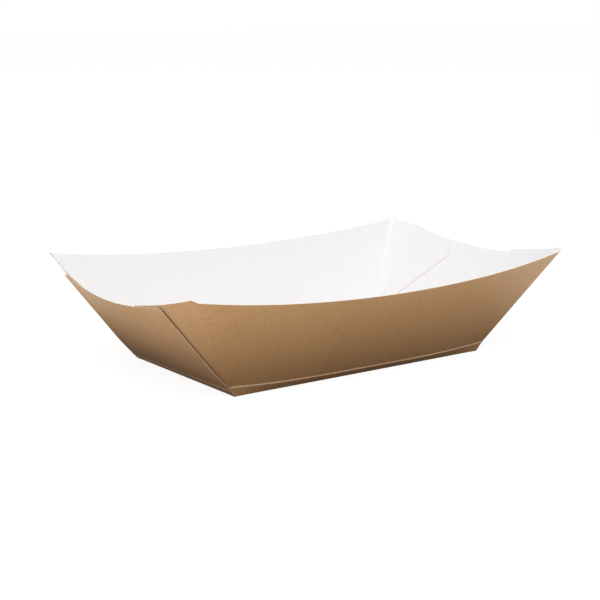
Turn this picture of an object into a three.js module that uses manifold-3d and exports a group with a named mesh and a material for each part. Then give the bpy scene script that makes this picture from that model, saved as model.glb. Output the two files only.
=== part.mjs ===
// Paper food tray: one sheet of paperboard folded to an open boat. The base has a
// narrow strip all round it. Two long walls and two end walls lean outward from the
// strips. Each long wall carries a glue flap at both ends, which bends round the
// corner and lies on the inside of the end wall. All sizes are in millimetres.
import * as THREE from "three";
import Module from "manifold-3d";

const wasm = await Module();
wasm.setup();
const { Manifold, Mesh: SolidMesh } = wasm;

// Board
const BOARD = 0.45; // thickness of the paperboard
const GLUE_PRESS = 0.08; // how far a glued flap is pressed into the end wall

// Base, the flat rectangle that the tray stands on
const BASE_HALF_LENGTH = 73.3;
const BASE_HALF_WIDTH = 42.8;

// Strip along the long sides: it stands steep at its ends and leans out in the middle
const LONG_STRIP_WIDTH = 4.55;
const LONG_STRIP_END_RUN = 3.6; // how far its end reaches past the base, along X
const LONG_STRIP_LEAN_END = 83; // degrees above the floor at the corners
const LONG_STRIP_LEAN_MIDDLE = 45; // degrees above the floor halfway along

// Strip along the ends: it reaches this share of the way up the long strip's end edge
const END_STRIP_SHARE = 0.62;

// Long walls, and their rim from corner crease to corner crease
const CREASE_FLARE_X = 32.9; // from the base's corner out to the top of the crease
const CREASE_FLARE_Y = 23.2;
const CREASE_TOP_Z = 51.0;
const LONG_RIM_BOW = 4.9; // how far the middle stands outward of the corners
const LONG_RIM_DIP = 6.5; // even part of the dip
const LONG_RIM_SCOOP = 1.1; // part of the dip that is flat in the middle

// Rounded corner between the crease and the flap, from the top of the crease
const CORNER_OUT = 2.2;
const CORNER_IN = 0.1;
const CORNER_UP = 0.9;
const PEAK_IN = 1.9; // to the rim's highest point, where the flap begins

// End walls
const END_FLARE = 41.0; // from the base's end out to the middle of the rim
const END_RIM_BOW = 2.7; // how far the rim is set back at the cut edges
const END_CUT_FLARE = 1.4; // how much further out the cut edge is at the rim, along Y
const END_RIM_DROP = 9.5; // middle of the rim, below the top of the crease
const END_RIM_RISE = 3.9;
const END_RIM_SCOOP = 0.32; // share of the rise that is steeper near the middle

// Glue flaps
const FLAP_RIM_DROP = 9.4;
const FLAP_RIM_RISE = 10.8;
const FLAP_RIM_SHAPE = [1.379, -0.764, 0.385]; // powers of the squared distance
const FLAP_REACH_RIM = 20.0; // from the end wall's cut edge to the flap's end at the rim
const FLAP_REACH_TIP = 28.4; // and to its tip, where the slanting cut begins
const FLAP_TIP_DROP = 14.1; // tip below the top of the crease
const FLAP_TIP_BLUNT = 0.5; // rounding of the tip, along Y

// Fineness of the curved walls
const LONG_STEPS = 40;
const END_STEPS = 28;
const RISE_STEPS = 4;
const CORNER_STEPS = 8;
const FLAP_STEPS = 12;
const FINEST = 0.01; // detail smaller than this is smoothed away

const KRAFT = 0xb08e68;

const radians = (degrees) => (degrees * Math.PI) / 180;
const mix = (a, b, t) => a + (b - a) * t;
const point = (x, y, z) => new THREE.Vector3(x, y, z);
const between = (p, q, t) => p.clone().lerp(q, t);

// Long strip and its top crease, s runs from -1 to 1 along the tray
function longStripTop(s) {
  const bulge = 1 - s ** 4;
  const lean = radians(mix(LONG_STRIP_LEAN_END, LONG_STRIP_LEAN_MIDDLE, bulge));
  return point(
    s * (BASE_HALF_LENGTH + LONG_STRIP_END_RUN),
    -BASE_HALF_WIDTH - LONG_STRIP_WIDTH * Math.cos(lean),
    LONG_STRIP_WIDTH * Math.sin(lean),
  );
}

// Places that follow from those sizes
const BASE_CORNER = point(BASE_HALF_LENGTH, BASE_HALF_WIDTH, 0);
const CREASE_FOOT = longStripTop(1);
CREASE_FOOT.y *= -1;
const CREASE_TOP = point(
  BASE_HALF_LENGTH + CREASE_FLARE_X,
  BASE_HALF_WIDTH + CREASE_FLARE_Y,
  CREASE_TOP_Z,
);
const PEAK_Y = CREASE_TOP.y - PEAK_IN;
const END_FOOT = between(BASE_CORNER, CREASE_FOOT, END_STRIP_SHARE);
const END_CUT_Y = END_FOOT.y + END_CUT_FLARE;
const END_RIM_X = BASE_HALF_LENGTH + END_FLARE;
const END_RIM_LOW = CREASE_TOP_Z - END_RIM_DROP;
const FLAP_TOP_Y = END_CUT_Y - FLAP_REACH_RIM;
const FLAP_TIP_Y = END_CUT_Y - FLAP_REACH_TIP;
const FLAP_TIP_Z = CREASE_TOP_Z - FLAP_TIP_DROP;

function longRim(s) {
  const dip = LONG_RIM_DIP * (1 - s ** 2) + LONG_RIM_SCOOP * (1 - s ** 4);
  return point(
    s * CREASE_TOP.x,
    -CREASE_TOP.y - LONG_RIM_BOW * (1 - s ** 2),
    CREASE_TOP.z - dip,
  );
}

// End wall's outer face. Its rim runs straight on past the cut edge, where the flap is
function endRimX(y) {
  const k = Math.abs(y) / END_CUT_Y;
  return END_RIM_X - END_RIM_BOW * (k < 1 ? k * k : 2 * k - 1);
}

function endRimZ(y) {
  const k = (y / END_CUT_Y) ** 2;
  return END_RIM_LOW + END_RIM_RISE * ((1 + END_RIM_SCOOP) * k - END_RIM_SCOOP * k * k);
}

function endFace(y, z) {
  const rise = (z - END_FOOT.z) / (endRimZ(y) - END_FOOT.z);
  return point(mix(END_FOOT.x, endRimX(y), rise), y, z);
}

// The flap lies inside the end wall by one thickness of board, measured along X
const WALL_SLOPE = Math.atan2(END_RIM_LOW - END_FOOT.z, END_RIM_X - END_FOOT.x);
const FLAP_SET_IN = (BOARD - GLUE_PRESS) / Math.sin(WALL_SLOPE);

function flapFace(y, z) {
  const p = endFace(y, z);
  p.x -= FLAP_SET_IN;
  return p;
}

function flapRimZ(y) {
  const k = (y / PEAK_Y) ** 2;
  const [first, second, third] = FLAP_RIM_SHAPE;
  const rise = first * k + second * k ** 2 + third * k ** 3;
  return CREASE_TOP_Z - FLAP_RIM_DROP + FLAP_RIM_RISE * rise;
}

// The flap's rim stays in the end wall's slope, and eases off it towards the peak
function flapRim(y) {
  const onWall = flapFace(y, flapRimZ(y));
  const atPeak = point(endRimX(y) - FLAP_SET_IN, y, flapRimZ(y));
  const past = Math.max(0, (y - CREASE_FOOT.y) / (PEAK_Y - CREASE_FOOT.y));
  return between(onWall, atPeak, past * past * (3 - 2 * past));
}

// Triangles between two rows of points
function joinRows(rows) {
  const triangles = [];
  for (let i = 0; i + 1 < rows.length; i += 1) {
    for (let j = 0; j + 1 < rows[i].length; j += 1) {
      const [a, b] = [rows[i][j], rows[i][j + 1]];
      const [c, d] = [rows[i + 1][j], rows[i + 1][j + 1]];
      triangles.push([a, b, d], [a, d, c]);
    }
  }
  return triangles;
}

// Turns a face's triangles round where they don't point the way asked
function facing(triangles, outward) {
  const sum = new THREE.Vector3();
  for (const [a, b, c] of triangles) {
    sum.add(b.clone().sub(a).cross(c.clone().sub(a)));
  }
  return sum.dot(outward) > 0 ? triangles : triangles.map(([a, b, c]) => [a, c, b]);
}

// Welds equal corners and drops triangles that have lost an edge
function weld(triangles) {
  const points = [];
  const places = new Map();
  const place = (p) => {
    const key = [p.x, p.y, p.z].map((v) => Math.round(v * 1e4)).join();
    if (!places.has(key)) {
      places.set(key, points.push(p) - 1);
    }
    return places.get(key);
  };
  const faces = triangles
    .map((corners) => corners.map(place))
    .filter(([a, b, c]) => a !== b && b !== c && c !== a);
  return { points, faces };
}

function cornerNormals(points, faces) {
  const normals = points.map(() => new THREE.Vector3());
  for (const [a, b, c] of faces) {
    const side = points[b].clone().sub(points[a]);
    const normal = side.cross(points[c].clone().sub(points[a])).normalize();
    for (const i of [a, b, c]) {
      normals[i].add(normal);
    }
  }
  return normals.map((n) => n.normalize());
}

// Edges that only one triangle has, in that triangle's direction
function openEdges(faces) {
  const edges = new Map();
  for (const [a, b, c] of faces) {
    for (const [p, q] of [[a, b], [b, c], [c, a]]) {
      if (!edges.delete(`${q},${p}`)) {
        edges.set(`${p},${q}`, [p, q]);
      }
    }
  }
  return [...edges.values()];
}

// A sheet of board whose outer face is the one given
function sheet(triangles, outward, thickness = BOARD) {
  const { points, faces } = weld(facing(triangles, outward));
  const normals = cornerNormals(points, faces);
  const n = points.length;
  const inner = points.map((p, i) => p.clone().addScaledVector(normals[i], -thickness));
  const skin = faces.concat(faces.map(([a, b, c]) => [a + n, c + n, b + n]));
  for (const [p, q] of openEdges(faces)) {
    skin.push([q, p, p + n], [q, p + n, q + n]);
  }
  const vertProperties = new Float32Array([...points, ...inner].flatMap((p) => [...p]));
  const triVerts = new Uint32Array(skin.flat());
  return new Manifold(new SolidMesh({ numProp: 3, vertProperties, triVerts }));
}

const steps = (count) => Array.from({ length: count + 1 }, (_, i) => i / count);

function basePlate() {
  const [x, y] = [BASE_HALF_LENGTH, BASE_HALF_WIDTH];
  const rows = [
    [point(-x, -y, 0), point(x, -y, 0)],
    [point(-x, y, 0), point(x, y, 0)],
  ];
  return sheet(joinRows(rows), point(0, 0, -1));
}

function longSide() {
  const rows = steps(LONG_STEPS).map((t) => {
    const s = 2 * t - 1;
    const foot = point(s * BASE_HALF_LENGTH, -BASE_HALF_WIDTH, 0);
    const wall = steps(RISE_STEPS).map((v) => between(longStripTop(s), longRim(s), v));
    return [foot, ...wall];
  });
  return sheet(joinRows(rows), point(0, -1, -0.5));
}

function endSide() {
  const rows = steps(END_STEPS).map((t) => {
    const s = 2 * t - 1;
    const base = point(BASE_HALF_LENGTH, s * BASE_HALF_WIDTH, 0);
    const low = point(END_FOOT.x, s * END_FOOT.y, END_FOOT.z);
    const y = s * END_CUT_Y;
    const high = point(endRimX(y), y, endRimZ(y));
    return [base, ...steps(RISE_STEPS).map((v) => between(low, high, v))];
  });
  return sheet(joinRows(rows), point(1, 0, -0.5));
}

// Rounded corner from the crease to the peak, which narrows to the strip's top corner
function cornerRim(t) {
  const round = CREASE_TOP.clone().add(point(CORNER_OUT, -CORNER_IN, CORNER_UP));
  const peak = flapRim(PEAK_Y);
  return between(between(CREASE_TOP, round, t), between(round, peak, t), t);
}

function slantingCut(y) {
  return mix(FLAP_TIP_Z, END_FOOT.z, (y - FLAP_TIP_Y) / (END_FOOT.y - FLAP_TIP_Y));
}

function flapTop(y) {
  const t = (y - FLAP_TIP_Y) / (FLAP_TOP_Y - FLAP_TIP_Y);
  return t < 1 ? mix(FLAP_TIP_Z, flapRimZ(FLAP_TOP_Y), t) : flapRimZ(y);
}

function cornerAndFlap() {
  const foot = CREASE_FOOT;
  const rays = steps(CORNER_STEPS).map(cornerRim);
  for (const t of steps(FLAP_STEPS).slice(1)) {
    rays.push(flapRim(mix(PEAK_Y, foot.y, t)));
  }
  const ray = (top) => steps(RISE_STEPS).map((v) => between(foot, top, v));
  const fan = joinRows(rays.map(ray));
  const end = FLAP_TIP_Y + FLAP_TIP_BLUNT;
  const middle = steps(FLAP_STEPS).map((t) => mix(foot.y, FLAP_TOP_Y, t));
  const last = steps(3).slice(1).map((t) => mix(FLAP_TOP_Y, end, t));
  const columns = [...middle, ...last].map((y, i) => {
    if (i === 0) {
      return steps(RISE_STEPS).map((v) => between(foot, flapRim(y), v));
    }
    const [low, high] = [slantingCut(y), flapTop(y)];
    return steps(RISE_STEPS).map((v) => flapFace(y, mix(low, high, v)));
  });
  const bend = facing(fan, point(1, 1, -1));
  const flap = facing(joinRows(columns), point(1, 0, -1));
  return sheet([...bend, ...flap], point(1, 0.5, -1));
}

function folded() {
  const [long, end, corner] = [longSide(), endSide(), cornerAndFlap()];
  const pieces = [basePlate(), long, long.mirror([0, 1, 0]), end, end.mirror([1, 0, 0])];
  for (const solid of [corner, corner.mirror([0, 1, 0])]) {
    pieces.push(solid, solid.mirror([1, 0, 0]));
  }
  return Manifold.union(pieces).simplify(FINEST);
}

function shown(solid, name) {
  const mesh = solid.getMesh();
  const geometry = new THREE.BufferGeometry();
  geometry.setAttribute("position", new THREE.BufferAttribute(mesh.vertProperties, 3));
  geometry.setIndex(new THREE.BufferAttribute(mesh.triVerts, 1));
  geometry.computeVertexNormals();
  const look = new THREE.MeshStandardMaterial({ color: KRAFT, roughness: 0.85 });
  const part = new THREE.Mesh(geometry, look);
  part.name = name;
  return part;
}

const tray = new THREE.Group();
tray.name = "paper_food_tray";
tray.add(shown(folded(), "tray"));

export default tray;
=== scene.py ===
"""A paper food tray: one sheet of board folded to an open boat, brown outside, white inside.

The sides are laid out flat as a blank and folded, the corners and glue flaps are bent
round, and all of them are joined to one skin. The skin then gets its thickness in two
plies, and the fold lines get their beads. Lengths are in metres.
"""

from __future__ import annotations

import logging
import math
from collections.abc import Callable, Sequence
from dataclasses import dataclass, field
from enum import Enum

import bmesh
import bpy
from mathutils import Matrix, Vector

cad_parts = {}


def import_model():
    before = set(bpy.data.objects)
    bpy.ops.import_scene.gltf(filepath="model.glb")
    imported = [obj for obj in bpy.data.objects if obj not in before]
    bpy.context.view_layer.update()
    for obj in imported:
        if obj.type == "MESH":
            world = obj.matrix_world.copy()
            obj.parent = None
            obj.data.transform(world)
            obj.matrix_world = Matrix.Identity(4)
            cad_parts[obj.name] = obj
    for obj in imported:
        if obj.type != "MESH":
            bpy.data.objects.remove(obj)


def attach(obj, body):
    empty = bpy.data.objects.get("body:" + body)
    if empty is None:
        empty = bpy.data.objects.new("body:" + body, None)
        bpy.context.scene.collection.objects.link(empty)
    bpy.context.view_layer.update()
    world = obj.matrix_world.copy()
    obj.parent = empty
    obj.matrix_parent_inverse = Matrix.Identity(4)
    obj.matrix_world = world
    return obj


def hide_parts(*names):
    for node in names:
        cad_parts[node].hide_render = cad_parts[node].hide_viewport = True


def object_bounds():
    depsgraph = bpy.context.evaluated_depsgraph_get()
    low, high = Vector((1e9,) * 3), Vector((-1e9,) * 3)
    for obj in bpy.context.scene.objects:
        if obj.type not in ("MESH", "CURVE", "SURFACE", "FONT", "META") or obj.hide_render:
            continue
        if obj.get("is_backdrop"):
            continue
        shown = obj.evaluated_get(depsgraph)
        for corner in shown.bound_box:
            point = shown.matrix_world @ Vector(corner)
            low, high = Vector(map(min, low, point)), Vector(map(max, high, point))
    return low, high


LOG = logging.getLogger("food_tray")
MM = 0.001
UP = Vector((0.0, 0.0, 1.0))
Triple = tuple[float, float, float]
Colour = tuple[float, float, float, float]
Feed = object
PLAIN_WHITE: Colour = (1.0, 1.0, 1.0, 1.0)


def tone(red: int, green: int, blue: int) -> Colour:
    """Turns a screen colour into the linear one that a shader reads.

    Args:
        red: Red, from 0 to 255.
        green: Green, from 0 to 255.
        blue: Blue, from 0 to 255.

    Returns:
        The linear colour with full alpha.
    """

    def linear(value: int) -> float:
        """Undoes the screen's curve for one channel."""
        share = value / 255
        return share / 12.92 if share <= 0.04045 else ((share + 0.055) / 1.055) ** 2.4

    return (linear(red), linear(green), linear(blue), 1.0)


def linked(name: str, data: bpy.types.ID) -> bpy.types.Object:
    """Makes an object, puts it in the scene at the origin, and returns it.

    Args:
        name: The object's name.
        data: Its mesh, lamp or camera.

    Returns:
        The object.
    """
    made = bpy.data.objects.new(name, data)
    bpy.context.scene.collection.objects.link(made)
    return made


def note(mesh: bpy.types.Mesh, name: str, values: Sequence[float]) -> None:
    """Stores one number at each point of a mesh."""
    mesh.attributes.new(name, "FLOAT", "POINT").data.foreach_set("value", values)


class Ply(Enum):
    """Which layer of the board a face shows."""

    KRAFT = 0
    WHITE = 1
    WHITE_CUT = 2
    KRAFT_CUT = 3
    # The white ply's cut where it faces across the tray, in a darker tone as painted shade.
    SHADED_SIDE_CUT = 4

    @property
    def input(self) -> str:
        """Name of the board tree's input for this ply's material."""
        return f"{self.name.title()} Material"


class Nodes:
    """Adds nodes to one tree and joins them."""

    def __init__(self, tree: bpy.types.NodeTree) -> None:
        """Keeps the tree that the nodes go into."""
        self.tree = tree

    def feed(self, socket: bpy.types.NodeSocket, value: Feed) -> None:
        """Links a socket to another one, or sets its own value.

        Args:
            socket: The input to fill.
            value: Another socket, or a plain value.
        """
        if isinstance(value, bpy.types.NodeSocket):
            self.tree.links.new(value, socket)
        else:
            socket.default_value = value

    def put(
        self, kind: str, feeds: dict[str | int, Feed] | None = None, **settings: object
    ) -> bpy.types.Node:
        """Adds one node.

        Args:
            kind: The node's type.
            feeds: What goes into its inputs, by name or number.
            **settings: Its other properties.

        Returns:
            The new node.
        """
        node = self.tree.nodes.new(kind)
        for name, value in settings.items():
            setattr(node, name, value)
        for key, value in (feeds or {}).items():
            self.feed(node.inputs[key], value)
        return node

    def math(self, operation: str, *values: Feed) -> bpy.types.NodeSocket:
        """Adds a Math node for one or more numbers and returns its result."""
        return self.put("ShaderNodeMath", dict(enumerate(values)), operation=operation).outputs[0]

    def vector(self, operation: str, *values: Feed) -> bpy.types.NodeSocket:
        """Adds a Vector Math node for one or more vectors and returns its vector."""
        feeds = dict(enumerate(values))
        return self.put("ShaderNodeVectorMath", feeds, operation=operation).outputs["Vector"]

    def scaled(self, vector: Feed, factor: Feed) -> bpy.types.NodeSocket:
        """Multiplies a vector by a number."""
        feeds = {0: vector, "Scale": factor}
        return self.put("ShaderNodeVectorMath", feeds, operation="SCALE").outputs["Vector"]

    def mix(self, kind: str, factor: Feed, low: Feed, high: Feed) -> bpy.types.NodeSocket:
        """Mixes two numbers, vectors or colours.

        Args:
            kind: Float, Vector or Color.
            factor: Share of the second value.
            low: The first value.
            high: The second value.

        Returns:
            The result's socket.
        """
        types = {"Float": "FLOAT", "Vector": "VECTOR", "Color": "RGBA"}
        node = self.put("ShaderNodeMix", data_type=types[kind])
        inputs = {socket.identifier: socket for socket in node.inputs}
        for name, value in (("Factor_Float", factor), (f"A_{kind}", low), (f"B_{kind}", high)):
            self.feed(inputs[name], value)
        return next(s for s in node.outputs if s.identifier == f"Result_{kind}")

    def spread(self, value: Feed, low: float, high: float) -> bpy.types.NodeSocket:
        """Stretches the range from low to high over 0 to 1, and clamps it."""
        feeds = {"Value": value, "From Min": low, "From Max": high}
        return self.put("ShaderNodeMapRange", feeds, clamp=True).outputs["Result"]

    def attribute(self, name: str, kind: str = "FLOAT") -> bpy.types.NodeSocket:
        """Reads a named attribute inside a geometry tree."""
        node = self.put("GeometryNodeInputNamedAttribute", {"Name": name}, data_type=kind)
        return node.outputs["Attribute"]

    def stored(self, feeds: dict[str, Feed], kind: str, domain: str) -> bpy.types.NodeSocket:
        """Stores a named attribute inside a geometry tree and returns the geometry."""
        node = self.put("GeometryNodeStoreNamedAttribute", feeds, data_type=kind, domain=domain)
        return node.outputs["Geometry"]

    def shaded(self, mesh: Feed, selection: Feed, smooth: bool, domain: str) -> Feed:
        """Shades the selected faces or edges smooth or sharp, and returns the mesh."""
        feeds = {0: mesh, "Selection": selection, "Shade Smooth": smooth}
        return self.put("GeometryNodeSetShadeSmooth", feeds, domain=domain).outputs[0]

    def group(self, tree: bpy.types.NodeTree, feeds: dict[str, Feed]) -> bpy.types.Node:
        """Places a shader group with its values."""
        return self.put("ShaderNodeGroup", feeds, node_tree=tree)


def emptied(owner: bpy.types.Material | bpy.types.World) -> Nodes:
    """Gives a material or a world an empty node tree, and returns its nodes.

    Args:
        owner: The material or world.

    Returns:
        The tree's nodes.
    """
    owner.use_nodes = True
    owner.node_tree.nodes.clear()
    return Nodes(owner.node_tree)


class GeometryTree:
    """A Geometry Nodes tree with named inputs, and the way to run it on an object."""

    def __init__(self, name: str, inputs: dict[str, str]) -> None:
        """Starts the tree.

        Args:
            name: The tree's name.
            inputs: Socket type of each input after the geometry, by name.
        """
        self.tree = bpy.data.node_groups.new(name, "GeometryNodeTree")
        sockets = self.tree.interface
        sockets.new_socket(name="Geometry", in_out="INPUT", socket_type="NodeSocketGeometry")
        for label, kind in inputs.items():
            sockets.new_socket(name=label, in_out="INPUT", socket_type=f"NodeSocket{kind}")
        sockets.new_socket(name="Geometry", in_out="OUTPUT", socket_type="NodeSocketGeometry")
        self.nodes = Nodes(self.tree)
        self.given = self.nodes.put("NodeGroupInput").outputs

    def close(self, geometry: bpy.types.NodeSocket, materials: dict[str, object]) -> None:
        """Ends the tree in Realize Instances and Set Material.

        Args:
            geometry: What the tree has made.
            materials: For each material input, the selection that it goes on.
        """
        last = self.nodes.put("GeometryNodeRealizeInstances", {"Geometry": geometry}).outputs[0]
        for name, selection in materials.items():
            feeds = {"Geometry": last, "Selection": selection, "Material": self.given[name]}
            last = self.nodes.put("GeometryNodeSetMaterial", feeds).outputs["Geometry"]
        self.nodes.put("NodeGroupOutput", {"Geometry": last})

    def run(self, source: bpy.types.Mesh, values: dict[str, object]) -> bpy.types.Mesh:
        """Runs the tree on a mesh and returns the plain result.

        Args:
            source: The mesh that the tree starts from. It is used up.
            values: The value of each input, by name.

        Returns:
            The finished mesh, with no modifier left.
        """
        worker = linked(f"{source.name}_work", source)
        modifier = worker.modifiers.new(self.tree.name, "NODES")
        modifier.node_group = self.tree
        places = {item.name: item for item in self.tree.interface.items_tree}
        for name, value in values.items():
            modifier[places[name].identifier] = value
        graph = bpy.context.evaluated_depsgraph_get()
        shaped = worker.evaluated_get(graph)
        made = bpy.data.meshes.new_from_object(
            shaped, preserve_all_data_layers=True, depsgraph=graph
        )
        worker.modifiers.remove(modifier)
        name = source.name
        bpy.data.objects.remove(worker)
        bpy.data.meshes.remove(source)
        made.name = name
        return made


@dataclass
class Skin:
    """A sheet without thickness: points, faces, and how near each point is to a fold line."""

    points: list[Vector] = field(default_factory=list)
    faces: list[tuple[int, ...]] = field(default_factory=list)
    folds: list[float] = field(default_factory=list)

    def rows(
        self,
        grid: Sequence[Sequence[Vector]],
        outward: Vector,
        folds: Sequence[Sequence[float]],
    ) -> None:
        """Adds a grid of four-sided faces that point outward.

        Args:
            grid: Rows of points, all of one length.
            outward: The way that the faces point on the whole.
            folds: Fold wear and painted highlight of each point.
        """
        start, width = len(self.points), len(grid[0])
        normal = Vector()
        made = []
        for i in range(len(grid) - 1):
            for j in range(width - 1):
                a, b = grid[i][j], grid[i][j + 1]
                c, d = grid[i + 1][j + 1], grid[i + 1][j]
                normal += (c - a).cross(d - b)
                first = start + i * width + j
                made.append((first, first + 1, first + 1 + width, first + width))
        if normal.dot(outward) < 0:
            made = [face[::-1] for face in made]
        for line, wear_and_highlight in zip(grid, folds):
            self.points.extend(line)
            self.folds.extend(wear_and_highlight)
        self.faces.extend(made)

    def join(self, other: Skin) -> None:
        """Adds another skin's points and faces.

        Args:
            other: The skin to add.
        """
        start = len(self.points)
        self.points.extend(other.points)
        self.folds.extend(other.folds)
        self.faces.extend(tuple(i + start for i in face) for face in other.faces)

    def mesh(self, name: str) -> bpy.types.Mesh:
        """Writes the skin as a mesh with its fold wear.

        Args:
            name: The mesh's name.

        Returns:
            The mesh.
        """
        mesh = bpy.data.meshes.new(name)
        mesh.from_pydata([tuple(p) for p in self.points], [], self.faces)
        note(mesh, "fold", self.folds)
        return mesh


@dataclass(frozen=True)
class Board:
    """The sheet of board and how it folds."""

    thickness: float = 0.45 * MM
    kraft_share: float = 0.15
    glue_press: float = 0.08 * MM
    fold_reach: float = 0.55 * MM
    fold_sharpens: float = 4.0 * MM
    fold_steps: int = 5
    # The fold mask's amount at the base folds and its reach: partly rubbed wear, partly a painted
    # highlight along the folds.
    rub_highlight_reach: float = 0.75 * MM
    base_rub_highlight: float = 0.15
    greatest_mitre: float = 1.5


@dataclass(frozen=True)
class HandFold:
    """How far one corner stands from its even place: outward along, outward across, up."""

    foot: Triple = (0.0, 0.0, 0.0)
    top: Triple = (0.0, 0.0, 0.0)
    peak: Triple = (0.0, 0.0, 0.0)
    cut: Triple = (0.0, 0.0, 0.0)
    flap_up: float = 0.0


def hand_folding() -> dict[tuple[int, int], HandFold]:
    """How far the folder's hand has moved each corner, by end and side.

    Returns:
        The corners that stand away from their even place.
    """
    return {
        (-1, -1): HandFold(foot=(0.0, 0.0, 0.4 * MM)),
        (-1, 1): HandFold(
            foot=(-1.0 * MM, -0.6 * MM, -2.0 * MM),
            top=(0.8 * MM, 0.0, 1.4 * MM),
            peak=(1.1 * MM, 0.0, 0.6 * MM),
            cut=(-1.3 * MM, 0.0, 0.4 * MM),
        ),
        (1, -1): HandFold(cut=(0.0, 0.0, 0.8 * MM), flap_up=1.8 * MM),
        (1, 1): HandFold(
            top=(0.0, 0.0, -0.7 * MM), peak=(0.0, 0.0, -1.5 * MM), cut=(0.0, 0.0, 0.8 * MM)
        ),
    }


def stations(count: int, gather: float = 0.75) -> list[float]:
    """Places from -1 to 1 that lie closer together towards both ends.

    Args:
        count: Number of spaces between them.
        gather: How strongly they gather at the ends, from 0 to 1.

    Returns:
        The places in order.
    """
    even = [2 * i / count - 1 for i in range(count + 1)]
    return [(1 - gather) * t + gather * math.sin(math.pi * t / 2) for t in even]


@dataclass
class TrayShape:
    """The folded tray's sizes and the places that follow from them."""

    base_half_length: float = 73.3 * MM
    base_half_width: float = 42.8 * MM
    strip_width: float = 4.55 * MM
    strip_run: float = 3.6 * MM
    lean_end: float = math.radians(83)
    lean_middle: float = math.radians(45)
    end_strip_share: float = 0.62
    flare_along: float = 32.9 * MM
    flare_across: float = 23.2 * MM
    crease_top_height: float = 51.0 * MM
    peak_in: float = 1.9 * MM
    end_flare: float = 41.0 * MM
    end_rim_bow: float = 2.7 * MM
    end_rim_drop: float = 9.5 * MM
    end_rim_rise: float = 3.9 * MM
    end_rim_scoop: float = 0.32
    end_cut_flare: float = 1.4 * MM
    long_columns: int = 72
    end_columns: int = 52
    wall_rises: int = 16
    hand: dict[tuple[int, int], HandFold] = field(default_factory=hand_folding)

    def turned(self, place: Vector, end: int, side: int) -> Vector:
        """Mirrors a place of the right far corner to another corner."""
        return Vector((place.x * end, place.y * side, place.z))

    def shift(self, part: str, end: int, side: int) -> Vector:
        """How far hand folding has moved a part of a corner, outward and up."""
        return Vector(getattr(self.hand.get((end, side), HandFold()), part))

    @property
    def peak_y(self) -> float:
        """Distance of the rim's highest points from the middle."""
        return self.base_half_width + self.flare_across - self.peak_in

    @property
    def end_cut_y(self) -> float:
        """Distance of the end wall's cut edge from the middle, at the rim."""
        return self.even_end_foot().y + self.end_cut_flare

    @property
    def end_rim_low(self) -> float:
        """Height of the end wall's rim in its middle."""
        return self.crease_top_height - self.end_rim_drop

    def placed(self, part: str, even: Vector, end: int, side: int) -> Vector:
        """Puts a place of the even right far corner where it is after hand folding."""
        return self.turned(even + self.shift(part, end, side), end, side)

    def base_corner(self, end: int, side: int) -> Vector:
        """A corner of the base."""
        return Vector((end * self.base_half_length, side * self.base_half_width, 0.0))

    def even_foot(self) -> Vector:
        """Foot of the corner crease in the right far corner, before hand folding."""
        out, up = (self.strip_width * way(self.lean_end) for way in (math.cos, math.sin))
        return Vector((self.base_half_length + self.strip_run, self.base_half_width + out, up))

    def even_end_foot(self) -> Vector:
        """Lowest corner of the end wall in the right far corner, before hand folding."""
        return self.base_corner(1, 1).lerp(self.even_foot(), self.end_strip_share)

    def crease_foot(self, end: int, side: int) -> Vector:
        """Where the corner crease meets the long strip."""
        return self.placed("foot", self.even_foot(), end, side)

    def crease_top(self, end: int, side: int) -> Vector:
        """Where the corner crease meets the rim."""
        x, y = self.base_half_length + self.flare_along, self.base_half_width + self.flare_across
        return self.placed("top", Vector((x, y, self.crease_top_height)), end, side)

    def end_foot(self, end: int, side: int) -> Vector:
        """Where the end wall's cut edge meets the end strip."""
        foot = self.crease_foot(end, side)
        return self.base_corner(end, side).lerp(foot, self.end_strip_share)

    def end_rim_corner(self, end: int, side: int) -> Vector:
        """Where the end wall's cut edge meets its rim.

        Args:
            end: Which end, -1 or 1.
            side: Which side, -1 or 1.

        Returns:
            The place.
        """
        x = self.base_half_length + self.end_flare - self.end_rim_bow
        even = Vector((x, self.end_cut_y, self.end_rim_low + self.end_rim_rise))
        return self.placed("cut", even, end, side)


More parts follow.
